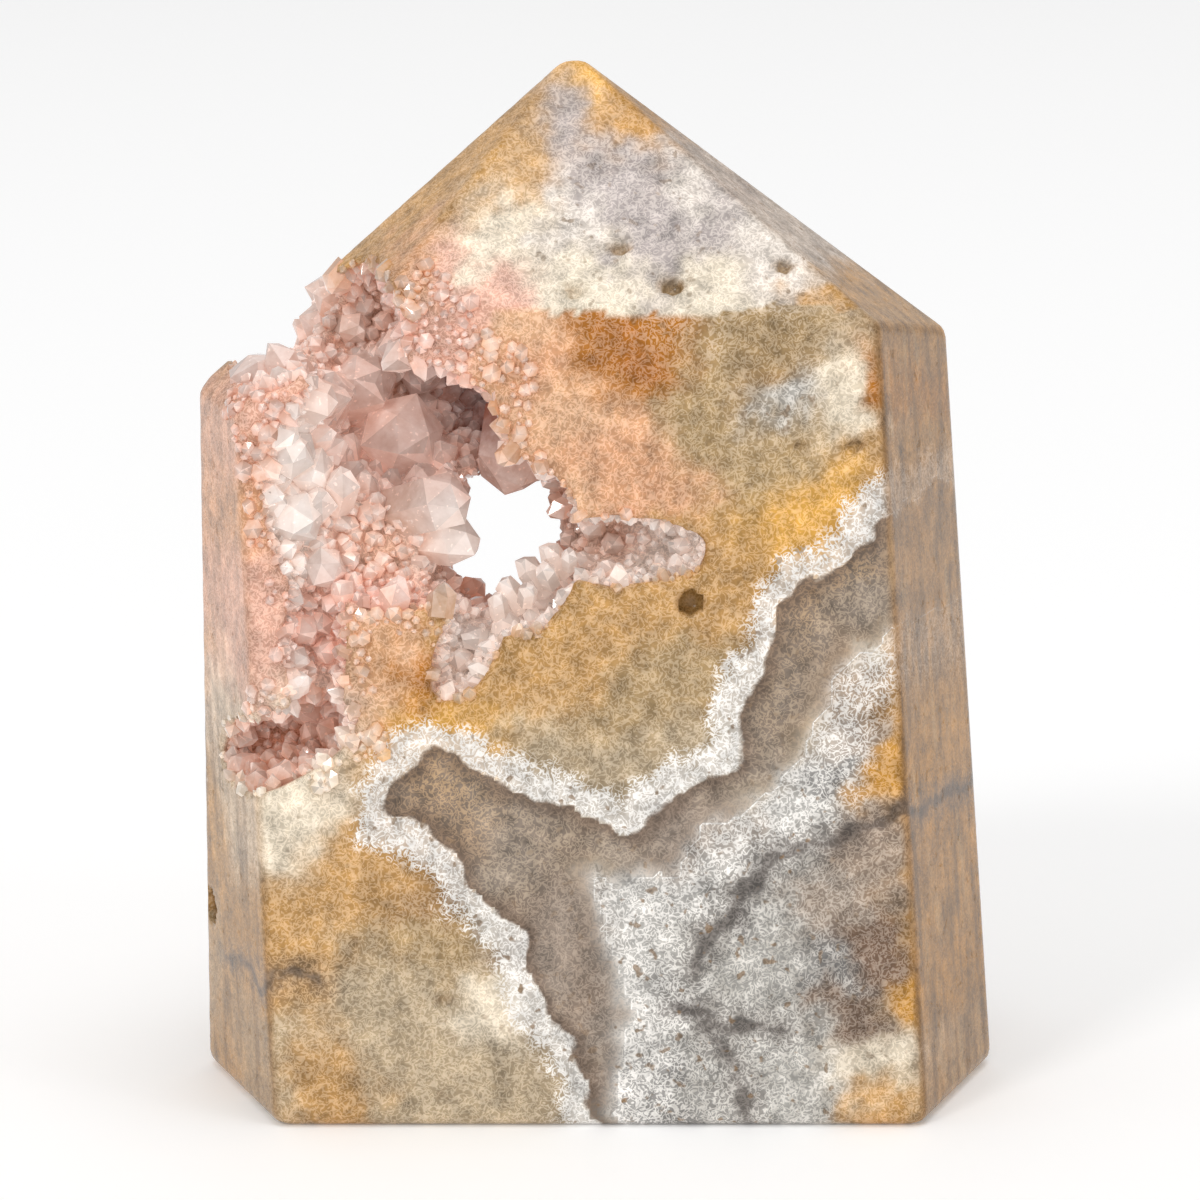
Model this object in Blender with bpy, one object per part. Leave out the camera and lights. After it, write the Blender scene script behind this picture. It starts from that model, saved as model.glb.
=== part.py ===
"""Pink amethyst tower: a free-standing polished point of pink amethyst in banded agate, 90 mm tall.

Lengths are in millimetres up to the last step of each mesh, which scales them to metres.
X runs to the right of the best side, Y away from it, Z up, and the base rests on Z = 0.
"""

import math
import random

import bmesh
import bpy
from mathutils import Matrix, Vector, noise

MM = 0.001

# Driving dimensions
HEIGHT = 90.0
BASE_WIDTH = 70.0
BASE_DEPTH = 38.0
EDGE_RADIUS = 1.3
ROUND_STEPS = 3  # flat strips across each rounded edge
ROUGH_BLOCK = 1.4  # how much larger than the stone the block is that it is ground from

# Corners of the stone before its edges are rounded
HALF_W = BASE_WIDTH / 2
HALF_D = BASE_DEPTH / 2
BASE_RING = {
    "front_left": Vector((-27.8, -HALF_D, 0)),
    "front_right": Vector((27.8, -HALF_D, 0)),
    "right": Vector((HALF_W, 0, 0)),
    "back_right": Vector((25.0, HALF_D, 0)),
    "back_left": Vector((-24.0, HALF_D, 0)),
    "left": Vector((-HALF_W, 0, 0)),
}
SHOULDER = {
    "front_left": Vector((-30.3, -18.0, 60.9)),
    "front_ridge": Vector((-19.7, -18.0, 70.9)),
    "front_middle": Vector((1.3, -18.0, 70.9)),
    "front_right": Vector((22.7, -18.0, 70.2)),
    "right": Vector((30.0, 0, 66.7)),
    "back_right": Vector((21.0, 17.0, 69.5)),
    "back_left": Vector((-20.0, 17.0, 67.0)),
    "left": Vector((-34.0, -7.0, 63.2)),
}
TIP = Vector((-2.4, 0, 91.0))

# The hollow is a run of lumpy chambers: centre, radii, and turn about Y in degrees
CHAMBERS = {
    "main": ((-16.0, -12.0, 60.2), (9.8, 13.0, 7.4), 0),
    "throat": ((-11.0, -7.0, 60.8), (4.8, 13.5, 5.4), 0),
    "front_window": ((-8.2, -14.0, 51.0), (7.7, 12.0, 8.7), 0),
    "middle_window": ((-8.5, 0.0, 48.2), (7.6, 13.0, 8.2), 0),
    "back_window": ((-8.8, 14.5, 45.7), (8.0, 11.5, 9.2), 0),
    "back_lobe": ((-14.6, 18.0, 41.6), (6.2, 7.5, 4.4), -28),
    "under_ridge": ((-20.6, -12.5, 68.0), (5.2, 12.0, 6.6), 12),
    "step": ((-27.6, -2.0, 69.4), (4.8, 34.0, 7.0), 25),
    "column_side": ((-23.9, -19.0, 56.0), (4.8, 5.6, 9.4), 4),
    "shelf": ((-18.0, -19.0, 52.0), (9.2, 6.4, 7.0), 0),
    "gully": ((-10.9, -18.6, 43.0), (2.7, 6.2, 6.4), 25),
    "strip": ((-24.0, -18.8, 43.0), (2.7, 5.8, 10.6), 0),
    "crevice": ((-27.6, -15.5, 33.2), (8.4, 9.5, 3.4), -26),
    "slit": ((1.0, -17.5, 50.6), (8.4, 6.5, 3.1), 2),
}
LUMP_SIZE = 0.35
LUMP_DEPTH = 0.1
CRUST_GAP = 0.35  # from the stone to the crust
ROOT_GAP = 0.25  # from the stone to the deepest roots of the crystals
CRUST = 1.25  # thickness of the crust between its crystals

# Crystal points that cover the crust: the spacing, their radii, and how they lean
POINT_SPACING = 3.75
POINT_RADIUS = (1.1, 2.1)
POINT_SIZES = (1.0, 0.75, 0.5)  # a point that would block the window is tried smaller
POINT_SLOPE = 1.5  # length of a point for each unit of its radius
ROOT_TAPER = 0.94  # radius of a crystal's root, against its shoulder
POINT_LEAN = 0.25
SUNK = 0.35  # how deep a crystal's root goes into the crust
SEED = 3
SAME_PLACE = 1e-5  # vertices closer than this are one
FLAT = math.radians(0.5)  # faces that meet at less than this are one face

# The largest crystals: root, direction, radius and length
LARGE_CRYSTALS = [
    ((-18.0, -0.5, 57.0), (0.2, -0.85, 0.2), 3.9, 6.6),
    ((-13.8, 0.5, 58.0), (0.0, -0.9, 0.1), 3.6, 6.2),
    ((-21.0, -1.0, 61.0), (0.1, -0.75, 0.5), 3.2, 5.8),
    ((-24.6, -6.0, 60.0), (0.2, -0.6, 0.7), 2.8, 5.0),
    ((-29.4, -9.0, 61.8), (0.1, -0.35, 0.9), 2.8, 4.6),
    ((-22.6, 3.5, 65.0), (-0.5, -0.5, 0.6), 2.2, 5.2),
    ((-20.2, 5.0, 68.0), (-0.6, -0.6, 0.6), 2.1, 5.0),
    ((-22.0, 8.0, 67.0), (-0.7, -0.2, 0.6), 1.9, 4.6),
    ((-7.4, -5.0, 57.8), (-0.1, -0.5, -0.9), 2.2, 5.0),
    ((-15.4, -13.5, 53.2), (0.6, -0.6, 0.4), 2.6, 5.0),
    ((-14.6, -12.5, 50.4), (0.8, -0.5, 0.1), 2.2, 4.6),
    ((-26.8, -15.0, 58.0), (0.3, -0.9, 0.3), 2.2, 3.6),
    ((-26.0, -15.0, 53.0), (0.2, -0.9, 0.0), 2.3, 3.4),
]

# Small pits in the polished faces: place and radius
PITS = [
    ((6.0, -16.1, 72.9), 0.75),
    ((1.7, -13.6, 75.7), 0.6),
    ((-2.2, -16.6, 72.5), 0.6),
    ((15.5, -14.5, 74.3), 0.6),
    ((7.6, -18.3, 46.1), 0.9),
    ((21.4, -18.2, 59.6), 0.6),
    ((16.8, -18.2, 59.6), 0.5),
    ((-34.3, -3.3, 15.6), 1.3),
    ((-13.3, -18.8, 11.4), 0.6),
    ((9.0, 18.2, 33.0), 0.9),
    ((-6.0, 18.0, 62.0), 0.7),
]

# No crystal grows into the clear way through the window: a level box, and a bore that dips to the back
CLEAR_LOW = Vector((-11.4, -BASE_DEPTH, 45.6))
CLEAR_HIGH = Vector((-5.4, BASE_DEPTH, 50.8))
BORE_CENTRE = Vector((-8.4, 0, 47.7))
BORE_DIP = 0.21
BORE_RADIUS = 4.5

COLOURS = {
    "stone_tower": (0.66, 0.49, 0.32, 1),
    "crystal_crust": (0.84, 0.62, 0.55, 1),
}


def new_object(name, bm, collection):
    mesh = bpy.data.meshes.new(name)
    bm.to_mesh(mesh)
    bm.free()
    obj = bpy.data.objects.new(name, mesh)
    collection.objects.link(obj)
    return obj


def clear_scene():
    for obj in list(bpy.data.objects):
        bpy.data.objects.remove(obj)


def new_collection(name):
    made = bpy.data.collections.new(name)
    bpy.context.scene.collection.children.link(made)
    return made


def baked(obj):
    """Applies the object's modifiers to its mesh."""
    graph = bpy.context.evaluated_depsgraph_get()
    mesh = bpy.data.meshes.new_from_object(obj.evaluated_get(graph))
    obj.modifiers.clear()
    old, obj.data = obj.data, mesh
    bpy.data.meshes.remove(old)
    return obj


def combine(obj, other, operation, solver="EXACT"):
    """Joins, cuts or keeps the common part of two closed meshes, in place."""
    step = obj.modifiers.new(operation.lower(), "BOOLEAN")
    step.operation = operation
    step.solver = solver
    step.object = other
    return baked(obj)


def keep_largest(obj):
    """Drops every loose chip of a mesh but its largest connected body."""
    bm = bmesh.new()
    bm.from_mesh(obj.data)
    left = set(bm.verts)
    bodies = []
    while left:
        reached = [left.pop()]
        for vert in reached:
            near = {edge.other_vert(vert) for edge in vert.link_edges} & left
            left -= near
            reached += near
        bodies.append(reached)
    bodies.sort(key=len)
    for chip in bodies[:-1]:
        bmesh.ops.delete(bm, geom=chip, context="VERTS")
    bm.to_mesh(obj.data)
    bm.free()


def merge_flats(obj):
    """Merges the slivers that cutting leaves in flat faces."""
    bm = bmesh.new()
    bm.from_mesh(obj.data)
    bmesh.ops.remove_doubles(bm, verts=bm.verts, dist=SAME_PLACE)
    bmesh.ops.dissolve_limit(bm, angle_limit=FLAT, verts=bm.verts, edges=bm.edges)
    bm.to_mesh(obj.data)
    bm.free()


def facet_corners():
    """Each flat face above the base as three points on it."""
    base, top = BASE_RING, SHOULDER
    sides = [
        (base["front_left"], base["front_right"], top["front_right"]),
        (base["front_right"], base["right"], top["right"]),
        (base["right"], base["back_right"], top["right"]),
        (base["back_right"], base["back_left"], top["back_right"]),
        (base["back_left"], base["left"], top["left"]),
        (base["left"], base["front_left"], top["front_left"]),
    ]
    roof = [
        (top["front_middle"], top["front_right"], TIP),
        (top["front_right"], top["right"], TIP),
        (top["right"], top["back_right"], TIP),
        (top["back_right"], top["back_left"], TIP),
        (top["back_left"], top["left"], TIP),
        (top["left"], top["front_ridge"], TIP),
    ]
    return sides + roof


def face_planes():
    """The flat faces of the sharp stone, its base last, as (point, outward normal)."""
    middle = Vector((0, 0, HEIGHT / 2))
    planes = []
    for a, b, c in facet_corners():
        normal = (b - a).cross(c - a).normalized()
        if (middle - a).dot(normal) > 0:
            normal = -normal
        planes.append((a, normal))
    planes.append((Vector((0, 0, 0)), Vector((0, 0, -1))))
    return planes


def sharp_stone(inset):
    """The stone ground from a block one flat face at a time, each face moved in by inset."""
    bm = bmesh.new()
    bmesh.ops.create_cube(bm, size=1)
    block = Vector((BASE_WIDTH, BASE_DEPTH, HEIGHT)) * ROUGH_BLOCK
    bmesh.ops.scale(bm, vec=block, verts=bm.verts)
    bmesh.ops.translate(bm, vec=(0, 0, HEIGHT / 2), verts=bm.verts)
    for point, normal in face_planes():
        parts = bm.verts[:] + bm.edges[:] + bm.faces[:]
        bmesh.ops.bisect_plane(
            bm, geom=parts, dist=1e-5, plane_co=point - normal * inset, plane_no=normal, clear_outer=True
        )
        rim = [edge for edge in bm.edges if edge.is_boundary]
        bmesh.ops.contextual_create(bm, geom=rim)
    bmesh.ops.recalc_face_normals(bm, faces=bm.faces)
    return bm


def polished_block(name, collection):
    """The stone with every edge and corner rounded, fitted to its overall size."""
    core = sharp_stone(EDGE_RADIUS)
    shell = bmesh.new()
    for vert in core.verts:
        ways = [face.normal.copy() for face in vert.link_faces]
        ways.append(sum(ways, Vector()).normalized())
        for edge in vert.link_edges:
            one, two = [face.normal for face in edge.link_faces]
            ways += [one.slerp(two, step / ROUND_STEPS) for step in range(1, ROUND_STEPS)]
        for way in ways:
            shell.verts.new(vert.co + way * EDGE_RADIUS)
    core.free()
    hull = bmesh.ops.convex_hull(shell, input=shell.verts)
    loose = [item for item in hull["geom_interior"] if isinstance(item, bmesh.types.BMVert)]
    bmesh.ops.delete(shell, geom=loose, context="VERTS")
    bmesh.ops.dissolve_limit(shell, angle_limit=FLAT / 2, verts=shell.verts, edges=shell.edges)
    low = [min(vert.co[i] for vert in shell.verts) for i in range(3)]
    high = [max(vert.co[i] for vert in shell.verts) for i in range(3)]
    wanted = (BASE_WIDTH, BASE_DEPTH, HEIGHT)
    for vert in shell.verts:
        share = [(vert.co[i] - low[i]) / (high[i] - low[i]) for i in range(3)]
        vert.co = Vector([(share[i] - (0.5 if i < 2 else 0)) * wanted[i] for i in range(3)])
    bmesh.ops.recalc_face_normals(shell, faces=shell.faces)
    return new_object(name, shell, collection)


def chamber(name, inset, collection):
    """One lumpy chamber of the hollow, drawn in from its wall by inset."""
    centre, radii, turn = CHAMBERS[name]
    bm = bmesh.new()
    bmesh.ops.create_icosphere(bm, subdivisions=2, radius=1)
    for vert in bm.verts:
        way = vert.co.normalized()
        wall = Vector([way[i] * radii[i] for i in range(3)])
        lump = 1 + LUMP_DEPTH * noise.noise(wall * LUMP_SIZE + Vector(centre))
        vert.co = wall * (lump * (1 - inset / wall.length))
    turned = Matrix.Rotation(math.radians(turn), 4, "Y")
    bm.transform(Matrix.Translation(centre) @ turned)
    bmesh.ops.recalc_face_normals(bm, faces=bm.faces)
    return new_object(f"{name}_{inset:.1f}", bm, collection)


def hollow(inset, collection):
    """All the chambers of the hollow as one solid, drawn in from their walls by inset."""
    whole, *others = [chamber(name, inset, collection) for name in CHAMBERS]
    for other in others:
        combine(whole, other, "UNION")
    merge_flats(whole)
    return whole


def crystal(name, root, way, radius, length, collection):
    """A six-sided crystal that ends in a point, its root sunk in the crust."""
    point = min(radius * POINT_SLOPE, length)
    shaft = length - point + SUNK
    aim = Matrix.Translation(root) @ way.to_track_quat("Z", "X").to_matrix().to_4x4()
    bm = bmesh.new()
    if length > point:
        bmesh.ops.create_cone(
            bm, cap_ends=True, segments=6, radius1=radius * ROOT_TAPER, radius2=radius, depth=shaft,
            matrix=Matrix.Translation((0, 0, shaft / 2 - SUNK)),
        )
        end = max(bm.faces, key=lambda face: face.calc_center_median().z)
        bmesh.ops.poke(bm, faces=[end])["verts"][0].co.z += point
    else:
        bmesh.ops.create_cone(
            bm, cap_ends=True, segments=6, radius1=radius * (1 + SUNK / point), radius2=0,
            depth=point + SUNK, matrix=Matrix.Translation((0, 0, (point - SUNK) / 2)),
        )
    bm.transform(aim)
    return new_object(name, bm, collection)


def spots_on(mesh, spacing, rng):
    """Random points on a mesh at least spacing apart, each with its face's normal."""
    faces = [(f.center.copy(), f.normal.copy(), f.area) for f in mesh.polygons]
    found = []
    for _ in range(len(faces) * 6):
        centre, normal, area = rng.choices(faces, weights=[f[2] for f in faces])[0]
        spread = math.sqrt(area) * 0.5
        shift = Vector([rng.uniform(-spread, spread) for _ in range(3)])
        spot = centre + shift - normal * shift.dot(normal)
        if all((spot - other).length > spacing for other, _ in found):
            found.append((spot, normal))
    return found


def blocks_the_way(root, way, radius, length):
    """True if a crystal would reach into the clear way through the stone."""
    for share in (0.0, 0.5, 1.0):
        spot = root + way * length * share
        reach = radius * (1 - share)
        off = spot - BORE_CENTRE
        if math.hypot(off.x, off.z + off.y * BORE_DIP) < BORE_RADIUS + reach:
            return True
        if all(CLEAR_LOW[i] - reach < spot[i] < CLEAR_HIGH[i] + reach for i in range(3)):
            return True
    return False


def inside_stone(spot):
    return all((point - spot).dot(normal) > 0 for point, normal in face_planes())


def crust_of(stone, helpers):
    """A thin lining of the hollow with crystals grown on it, ground off flush with the stone."""
    crust = hollow(CRUST_GAP, helpers)
    space = hollow(CRUST_GAP + CRUST, helpers)
    combine(crust, space, "DIFFERENCE")
    merge_flats(crust)

    rng = random.Random(SEED)
    stand = [(Vector(r), Vector(w).normalized(), size, length) for r, w, size, length in LARGE_CRYSTALS]
    for spot, normal in spots_on(space.data, POINT_SPACING, rng):
        lean = Vector([rng.uniform(-POINT_LEAN, POINT_LEAN) for _ in range(3)])
        way = (lean - normal).normalized()
        largest = rng.uniform(*POINT_RADIUS)
        for size in POINT_SIZES:
            radius = largest * size
            length = radius * POINT_SLOPE
            if inside_stone(spot) and not blocks_the_way(spot, way, radius, length):
                stand.append((spot, way, radius, length))
                break
    for root, way, radius, length in stand:
        grown = crystal("crystal", root, way, radius, length, helpers)
        combine(crust, grown, "UNION", "MANIFOLD")
        bpy.data.objects.remove(grown)
    combine(crust, hollow(ROOT_GAP, helpers), "INTERSECT", "MANIFOLD")
    combine(crust, stone, "INTERSECT", "MANIFOLD")
    merge_flats(crust)
    keep_largest(crust)
    return crust


def pit_cutters(collection):
    bm = bmesh.new()
    for place, radius in PITS:
        bmesh.ops.create_icosphere(bm, subdivisions=1, radius=radius, matrix=Matrix.Translation(place))
    return new_object("pits", bm, collection)


def paint(obj, name):
    material = bpy.data.materials.new(name)
    material.use_nodes = True
    shader = material.node_tree.nodes["Principled BSDF"]
    shader.inputs["Base Color"].default_value = COLOURS[name]
    shader.inputs["Roughness"].default_value = 0.25
    shader.inputs["Metallic"].default_value = 0.0
    obj.data.materials.clear()
    obj.data.materials.append(material)


def main():
    clear_scene()
    tower = new_collection("pink_amethyst_tower")
    helpers = new_collection("cutters")
    helpers.hide_render = True

    stone = polished_block("stone_tower", tower)
    crust = crust_of(stone, helpers)
    crust.name = "crystal_crust"
    helpers.objects.unlink(crust)
    tower.objects.link(crust)
    combine(stone, hollow(0, helpers), "DIFFERENCE")
    combine(stone, pit_cutters(helpers), "DIFFERENCE")

    for obj in (stone, crust):
        obj.data.transform(Matrix.Scale(MM, 4))
        paint(obj, obj.name)
    for obj in helpers.objects:
        obj.hide_render = True
        obj.display_type = "WIRE"


main()
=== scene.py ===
"""Looks of the pink amethyst tower: a polished banded stone with a crystal-lined hollow."""
import math

import bmesh
import bpy
import numpy as np
from mathutils import Matrix, Vector, noise
from mathutils.bvhtree import BVHTree
from mathutils.kdtree import KDTree


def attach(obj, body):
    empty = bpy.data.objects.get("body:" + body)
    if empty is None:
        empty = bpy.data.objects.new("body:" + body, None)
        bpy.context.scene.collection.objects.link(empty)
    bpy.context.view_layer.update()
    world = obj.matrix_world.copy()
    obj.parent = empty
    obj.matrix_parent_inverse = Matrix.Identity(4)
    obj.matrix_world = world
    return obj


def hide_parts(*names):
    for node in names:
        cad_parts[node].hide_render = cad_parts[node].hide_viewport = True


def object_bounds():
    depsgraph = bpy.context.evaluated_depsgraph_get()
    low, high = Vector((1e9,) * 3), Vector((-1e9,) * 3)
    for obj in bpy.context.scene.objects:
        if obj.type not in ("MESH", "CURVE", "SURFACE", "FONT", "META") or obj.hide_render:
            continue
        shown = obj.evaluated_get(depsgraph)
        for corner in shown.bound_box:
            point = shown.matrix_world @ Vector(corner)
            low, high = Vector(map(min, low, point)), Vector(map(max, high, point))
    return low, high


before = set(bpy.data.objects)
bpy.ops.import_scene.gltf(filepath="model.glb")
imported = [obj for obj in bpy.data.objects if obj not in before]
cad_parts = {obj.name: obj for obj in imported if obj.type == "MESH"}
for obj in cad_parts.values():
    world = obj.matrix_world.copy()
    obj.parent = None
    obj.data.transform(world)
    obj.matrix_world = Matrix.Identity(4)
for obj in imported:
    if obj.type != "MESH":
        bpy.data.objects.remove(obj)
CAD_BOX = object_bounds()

bl_info = {
    "name": "Pink amethyst tower",
    "version": (1, 0, 0),
    "blender": (4, 5, 0),
    "location": "View3D > Sidebar > Amethyst",
    "description": "Dresses the polished stone and grows the crystals in its hollow",
    "category": "Object",
}

MM = 0.001
HOLLOW_START = 0.3  # mm under the outside
PIT_START = 0.08  # mm under the outside
RIDGE = 70.9  # mm, where the front face meets the roof

ALL_DEPTHS = 99  # mm, deeper than the hollow goes
BLEND = 3.0  # how sharply one painted tone gives way to the next
PAINTING_EDGE = -30  # mm, where the painting turns back at the left
BAND_RISE = 0.12  # how far the bands rise for each unit of depth
QUARTZ_IOR = 1.54
CRYSTAL_DENSITY = 4e6  # tries for each square metre, before the spacing thins them out
LARGE_HEIGHT = 1.75  # what a large crystal's length is divided by, for its shape of radius 1

# Stone colours, as they look in daylight.
TONES = {
    "milk": (0.93, 0.89, 0.85),
    "cream": (0.95, 0.90, 0.82),
    "lavender": (0.73, 0.69, 0.68),
    "lilac_grey": (0.70, 0.66, 0.65),
    "rose": (0.90, 0.72, 0.65),
    "peach": (0.91, 0.74, 0.61),
    "salmon": (0.88, 0.68, 0.55),
    "gold": (0.91, 0.71, 0.43),
    "ochre": (0.78, 0.62, 0.43),
    "amber": (0.80, 0.60, 0.34),
    "rust": (0.70, 0.45, 0.20),
    "brown": (0.63, 0.50, 0.36),
    "olive": (0.70, 0.60, 0.46),
    "sand": (0.73, 0.66, 0.56),
    "taupe": (0.63, 0.56, 0.50),
    "ash": (0.72, 0.71, 0.69),
    "slate": (0.54, 0.53, 0.52),
    "plum": (0.48, 0.39, 0.33),
}

# Patches of the stone's painting: tone, and (x, z, reach) in mm on the front.
PATCHES = {
    "gold": [(-1, 88.5, 2.5), (18.5, 53, 4), (-11, 35, 3.5)],
    "lilac_grey": [(-2.6, 85.6, 2.4), (4, 75.8, 2)],
    "amber": [(2.4, 85.5, 2.8), (24.4, 30, 2.2), (17.8, 71.8, 1.8), (29, 43, 3), (29, 12, 3)],
    "ochre": [(-8.3, 82.5, 3.2), (-8.5, 40, 4.5), (-2, 44, 4.5), (8.4, 48, 4.5), (-19, 22.5, 4),
              (-24, 3, 3.5), (-16, 79.5, 4), (-24, 76, 5), (25, 57, 4), (24.6, 1, 1.8), (-30, 14, 4),
              (29, 52, 3), (29, 33, 3), (29.5, 20, 3), (22, 76, 4)],
    "cream": [(-8.4, 77, 3), (8.4, 73, 3), (-1, 73.2, 3), (20.3, 61.5, 2.6), (22.5, 40.6, 1.2),
              (-28, 28, 3.6), (23.8, 6.5, 2.4), (-10.3, 11.4, 2.2), (-28.3, 36, 3.4)],
    "milk": [(7.6, 79.6, 2.2), (15, 74.6, 2.6), (-3, 79, 2), (12.5, 77.5, 1.6)],
    "lavender": [(1, 80.5, 3.6), (8.6, 77, 3.2), (4, 77.6, 3)],
    "rose": [(-8.5, 72.5, 2.8), (-12.6, 74.4, 2.6), (-31, 45, 5), (-30, 38.5, 4), (-13.5, 70.5, 2.6),
             (-30, 61, 4), (-18.6, 45, 2.4)],
    "salmon": [(-16, 75.2, 3), (0, 58.5, 4), (5, 55, 3), (-5.2, 66, 2.6), (-31, 56, 5)],
    "peach": [(-3, 63, 3.4), (-3.6, 54.8, 2.4), (-18, 42, 3), (-6.4, 69, 2.4)],
    "rust": [(-1.2, 67, 2.6), (-15.5, 39.5, 2.2), (24.7, 63, 1.8), (3, 66.5, 2.4)],
    "olive": [(7.5, 62, 3.6), (15, 58, 3.6), (2, 37, 4), (8.6, 40, 4), (14.5, 66.5, 2.6),
              (-14, 15.5, 3.6)],
    "brown": [(14.6, 65.9, 2), (24.6, 52, 2.4), (21.8, 39, 1.9), (-15.6, 20.6, 2.6), (25, 46, 2),
              (29, 26, 2.4), (-20, 73, 3)],
    "sand": [(1.7, 32.5, 4), (8, 34, 4), (-6, 33.4, 3.6), (-8.6, 20.5, 2.4), (-17.2, 10.6, 3.6),
             (22.6, 45.6, 2.4), (-12, 2.6, 3.4), (29, 5, 3), (-29, 5, 4), (29.4, 62, 3)],
    "ash": [(15.2, 63.4, 2), (4.3, 15, 3), (8.4, 18.5, 3), (13.7, 14.5, 3.2), (9, 6, 3), (15.6, 5, 3),
            (17.5, 28, 2.6), (13, 20.5, 3), (1.4, 19, 2), (17, 21, 2.6)],
    "slate": [(20.6, 13.8, 1.8), (12, 18.5, 1.6), (19, 31, 1.4), (6, 3.4, 2.4)],
    "taupe": [(20.5, 34.5, 1.6), (22, 24, 2.6), (18.4, 20, 2), (-4, 16, 3), (9, 26, 3)],
    "plum": [(24.2, 15.5, 2.4), (21.6, 9.5, 1.8)],
}

# Linear colours that the shaders lay over the painted tones.
STAINS = {
    "fibre": (0.78, 0.70, 0.60),
    # side: the sides' darker brown, partly the stone's own colour and partly painted shade.
    "side": (0.37, 0.17, 0.035),
    "dark_streak": (0.23, 0.12, 0.04),
    "pale_streak": (0.50, 0.34, 0.18),
    "river_cloud": (0.27, 0.2, 0.15),
    "crack_shade": (0.19, 0.15, 0.13),
    "crack_line": (0.09, 0.07, 0.06),
    "pore": (0.24, 0.14, 0.06),
    "pit": (0.30, 0.17, 0.05),
    "crystal_tip": (0.95, 0.90, 0.87),
    "crystal_root": (0.62, 0.30, 0.19),
}

# How much white frosting shows in a tone's grain.
FROST = {"milk": 0.9, "ash": 1.0, "slate": 0.85, "lavender": 0.5, "cream": 0.6}

# Blender takes the time of day as its noise seed unless one is set.
WANDER_SEED = 7

# How the painted tones wander: reach and size of the waves in mm.
WANDERINGS = [(2.2, 9), (1.8, 3.4), (1.3, 1.3)]

# Where the dark river runs through the stone: its shores, in mm on the front.
UPPER_SHORE = [(34, 66), (27.5, 57), (23.1, 52.8), (20, 49.3), (16.5, 47.3), (15, 45), (14.3, 41.5),
               (12.8, 39), (11.6, 36.4), (12.1, 33.1), (10.5, 31.2), (7.4, 30.3), (4.7, 28.4),
               (2.8, 26.4), (-0.3, 27.6), (-3.8, 28.8), (-7.6, 30.3), (-11.1, 32.4), (-14.2, 33.6),
               (-16.9, 31.6), (-18.5, 29.2), (-18.1, 26.9), (-14.6, 26.4), (-12.7, 24), (-11.2, 21.2),
               (-8.9, 19.2), (-6.9, 17.2), (-6.2, 14), (-5, 10), (-3, 8), (-1.5, 5.1), (-0.3, -2)]
INNER_SHORE = [(1, -2), (1.6, 3.9), (2.8, 10), (1.6, 14), (0.1, 18.1), (-0.7, 22.5), (2.8, 21.6),
               (6.3, 22.8), (8.9, 26.4), (13.2, 28.4), (15.9, 31.2), (17.8, 34.7), (18.6, 36.7),
               (19.9, 40.2), (22.3, 42), (25, 44), (30, 46), (40, 50)]
CRACKS = [
    [(34, 30), (26, 27.9), (20.6, 26), (15.9, 24.4), (12.9, 22), (11.4, 19.2), (8.6, 16.4), (7.9, 14)],
    [(6.7, 10.8), (10.6, 9.3), (15.3, 8.6)],
    [(9.4, 9.2), (11.8, 5.5), (12.6, -1)],
    [(-31, 12), (-27, 13.4), (-24, 13)],
]

# Small pits in the polished faces: (x, y, z, radius) in mm.
PITS = [(6, -16.1, 72.9, 0.9), (1.7, -13.6, 75.7, 0.75), (-2.2, -16.6, 72.5, 0.7),
        (15.5, -14.5, 74.3, 0.75), (7.6, -18.3, 46.1, 0.95), (21.4, -18.2, 59.6, 0.7),
        (16.8, -18.2, 59.6, 0.6), (-34.3, -3.3, 15.6, 1.3), (-13.3, -18.8, 11.4, 0.7),
        (9, 18.2, 33, 0.9), (-6, 18, 62, 0.8)]

# Colours of the crystals, with the painted shade of the deep recess, and where each one grows: (x, y, z,
# reach) in mm.
CRYSTAL_TONES = {
    "clear": (1.0, 0.94, 0.90),
    "milky_pink": (0.96, 0.80, 0.73),
    "blush": (0.97, 0.75, 0.67),
    "peach_glass": (0.97, 0.77, 0.62),
    "smoke": (0.88, 0.71, 0.62),
    # recess_shade: painted shade, a dark red-brown laid on the crystals deep in the hollow under the roof.
    "recess_shade": (0.52, 0.19, 0.09),
    "rose_brown": (0.88, 0.66, 0.55),
}
CRYSTAL_PATCHES = {
    "clear": [(-27, -17, 58, 4), (-26, -17, 50, 4), (-12, -14, 52, 3), (-7, -17, 58, 3),
              (-4, -17, 48, 4), (4, -17, 50, 5), (-9, -17, 41, 4), (-25, -18, 38, 3),
              (-18, -18, 37, 4), (-6, -17, 63, 3), (-14, -18, 67, 3)],
    "milky_pink": [(-18, -6, 57, 6), (-14, -3, 58, 5), (-28, -8, 62, 5), (-22, -14, 47, 4),
                   (-14, 0, 48, 5), (-27, 8, 64, 6), (-12, 12, 42, 6)],
    "blush": [(-16, -15, 71, 4), (-20, -17, 46, 4), (-22, -17, 43, 3), (-9, -14, 56, 3),
              (-12, -17, 65, 3)],
    "peach_glass": [(-17, -18, 40, 3), (-20, -12, 48, 3), (-17, -16, 66, 2)],
    "smoke": [(-21, 4, 67, 5), (-24, 10, 69, 5), (-6, -4, 56, 4), (-4, 4, 52, 4), (-19, 2, 62, 3),
              (0, -12, 51, 3), (-9, 14, 50, 5)],
    # Painted shade on the crystals deep in the hollow, under the roof.
    "recess_shade": [(-10, -4, 60, 4.5), (-9, -8, 62, 3.5), (-12, 2, 63, 4), (-9, 8, 58, 6), (-6, 5, 61, 5)],
    "rose_brown": [(-30, -12, 33, 5), (-24, -12, 34, 4), (-15, 6, 53, 4), (-10, 6, 43, 5)],
}

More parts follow.
